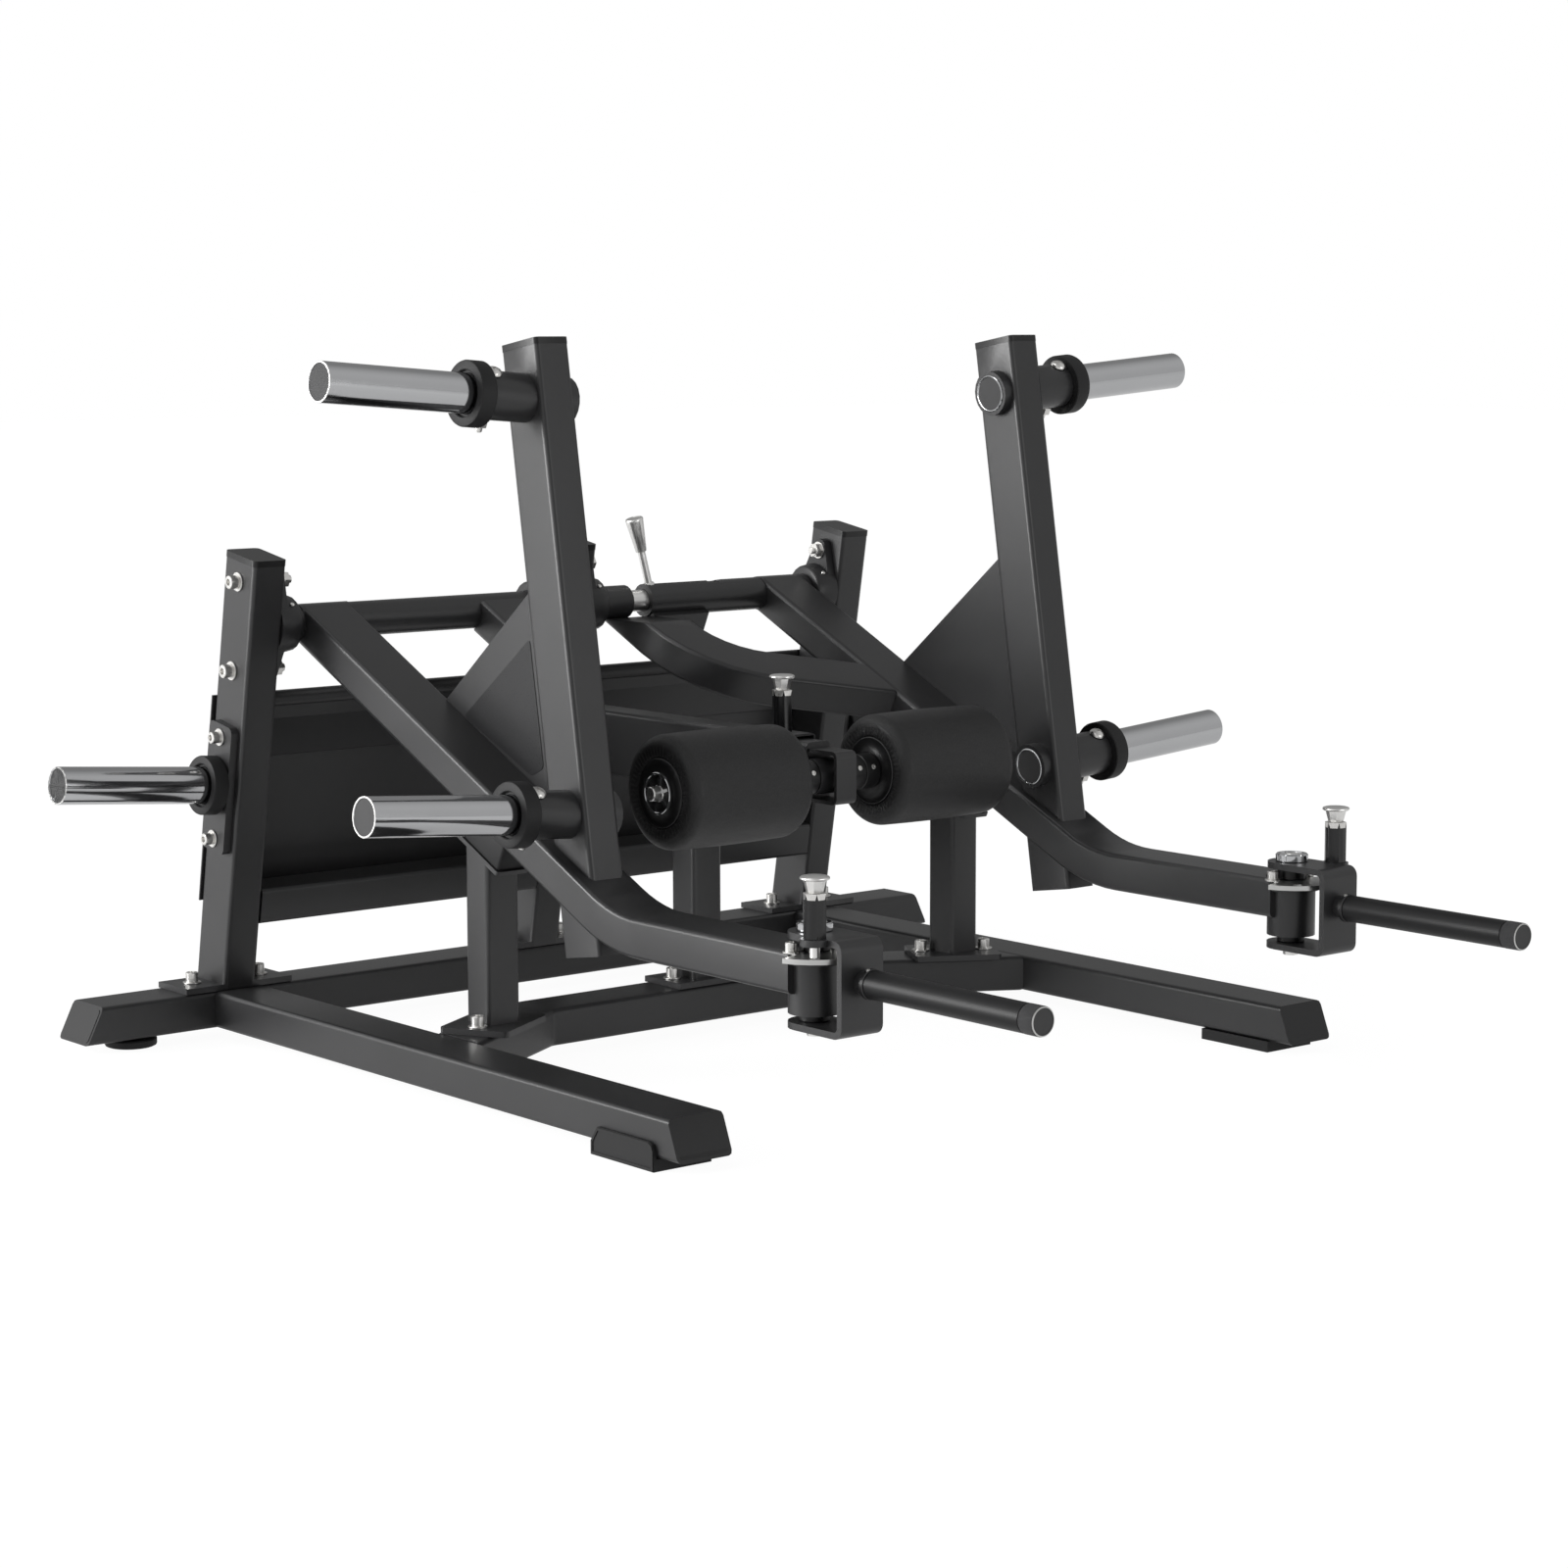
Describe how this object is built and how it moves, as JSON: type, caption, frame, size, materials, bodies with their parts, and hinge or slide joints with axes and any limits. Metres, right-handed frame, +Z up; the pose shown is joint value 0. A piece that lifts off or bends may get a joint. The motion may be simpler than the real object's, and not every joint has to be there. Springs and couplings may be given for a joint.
{
  "type": "plate-loaded deadlift machine",
  "caption": "Plate-loaded strength machine: leaning uprights, swinging arms with horned blades and indexed handles, sliding roller pads and a coupler lever.",
  "frame": {"origin": "on the floor under the middle of the machine's outline", "axes": "+X to the machine's right, +Y to the rear, +Z up"},
  "size_m": [1.575, 1.537, 0.9488],
  "materials": {
    "powder_coat": "satin black powder coat",
    "chrome": "polished chrome plate",
    "bright_steel": "turned bright steel",
    "rubber": "matte black rubber",
    "vinyl": "fine-grained black vinyl over foam",
    "cast_iron": "painted cast iron",
    "plunger": "blackened pin with a black knob"
  },
  "bodies": {
    "frame": {"rear_base_tube": "powder_coat", "left_side_rail": "powder_coat", "right_side_rail": "powder_coat", "front_cross_tube": "powder_coat", "left_upright": "powder_coat", "right_upright": "powder_coat", "middle_upright": "powder_coat", "left_lower_cross_beam": "powder_coat", "right_lower_cross_beam": "powder_coat", "rear_panel": "powder_coat", "left_outer_bearing": "cast_iron", "right_outer_bearing": "cast_iron", "left_inner_bearing": "cast_iron", "right_inner_bearing": "cast_iron", "left_stop_post": "powder_coat", "right_stop_post": "powder_coat", "left_stop_bumper": "rubber", "right_stop_bumper": "rubber", "centre_post": "powder_coat", "centre_beam": "powder_coat", "left_storage_horn": "chrome", "right_storage_horn": "chrome", "left_storage_collar": "rubber", "right_storage_collar": "rubber", "left_front_foot_pad": "rubber", "right_front_foot_pad": "rubber", "left_rear_foot": "rubber", "right_rear_foot": "rubber"},
    "carriage": {"roller_carrier": "powder_coat", "roller_axle": "chrome"},
    "left_roller": {"left_roller_pad": "vinyl"},
    "right_roller": {"right_roller_pad": "vinyl"},
    "carriage_pin": {"roller_pull_pin": "plunger"},
    "left_arm": {"left_arm_beam": "powder_coat", "left_arm_brace": "powder_coat", "left_pivot_tube": "powder_coat", "left_blade": "powder_coat", "left_gusset": "powder_coat", "left_upper_horn": "chrome", "left_upper_horn_collar": "rubber", "left_lower_horn": "chrome", "left_lower_horn_collar": "rubber"},
    "right_arm": {"right_arm_beam": "powder_coat", "right_arm_brace": "powder_coat", "right_pivot_tube": "powder_coat", "right_blade": "powder_coat", "right_gusset": "powder_coat", "right_upper_horn": "chrome", "right_upper_horn_collar": "rubber", "right_lower_horn": "chrome", "right_lower_horn_collar": "rubber"},
    "coupler": {"coupler_rod": "bright_steel"},
    "left_handle": {"left_handle_bracket": "powder_coat", "left_swivel_pin": "chrome", "left_grip": "rubber"},
    "right_handle": {"right_handle_bracket": "powder_coat", "right_swivel_pin": "chrome", "right_grip": "rubber"},
    "left_plunger": {"left_index_plunger": "plunger"},
    "right_plunger": {"right_index_plunger": "plunger"}
  },
  "joints": [
    {"name": "left_arm_swing", "type": "hinge", "parent": "frame", "child": "left_arm", "pos_m": [-0.4015, 0.642, 0.565], "axis": [-1, 0, 0], "range_deg": [0, 50]},
    {"name": "right_arm_swing", "type": "hinge", "parent": "frame", "child": "right_arm", "pos_m": [0.4015, 0.642, 0.565], "axis": [-1, 0, 0], "range_deg": [0, 50]},
    {"name": "coupler_slide", "type": "slide", "parent": "right_arm", "child": "coupler", "axis": [1, 0, 0], "range_m": [0, 0.123]},
    {"name": "left_handle_swivel", "type": "hinge", "parent": "left_arm", "child": "left_handle", "pos_m": [-0.4015, -0.3945, 0.241], "axis": [0, 0, 1], "range_deg": [0, 80]},
    {"name": "right_handle_swivel", "type": "hinge", "parent": "right_arm", "child": "right_handle", "pos_m": [0.4015, -0.3945, 0.241], "axis": [0, 0, -1], "range_deg": [0, 80]},
    {"name": "left_index_pull", "type": "slide", "parent": "left_handle", "child": "left_plunger", "axis": [0, 0, 1], "range_m": [0, 0.012], "stiffness_N_per_m": 600, "springref_m": -0.01},
    {"name": "right_index_pull", "type": "slide", "parent": "right_handle", "child": "right_plunger", "axis": [0, 0, 1], "range_m": [0, 0.012], "stiffness_N_per_m": 600, "springref_m": -0.01},
    {"name": "carriage_slide", "type": "slide", "parent": "frame", "child": "carriage", "axis": [0, -1, 0], "range_m": [0, 0.12]},
    {"name": "carriage_pin_pull", "type": "slide", "parent": "frame", "child": "carriage_pin", "axis": [0, 0, 1], "range_m": [0, 0.012], "stiffness_N_per_m": 600, "springref_m": -0.01},
    {"name": "left_roller_spin", "type": "hinge", "parent": "carriage", "child": "left_roller", "pos_m": [-0.1756, 0.0578, 0.3773], "axis": [1, 0, 0], "continuous": true},
    {"name": "right_roller_spin", "type": "hinge", "parent": "carriage", "child": "right_roller", "pos_m": [0.1756, 0.0578, 0.3773], "axis": [1, 0, 0], "continuous": true}
  ]
}
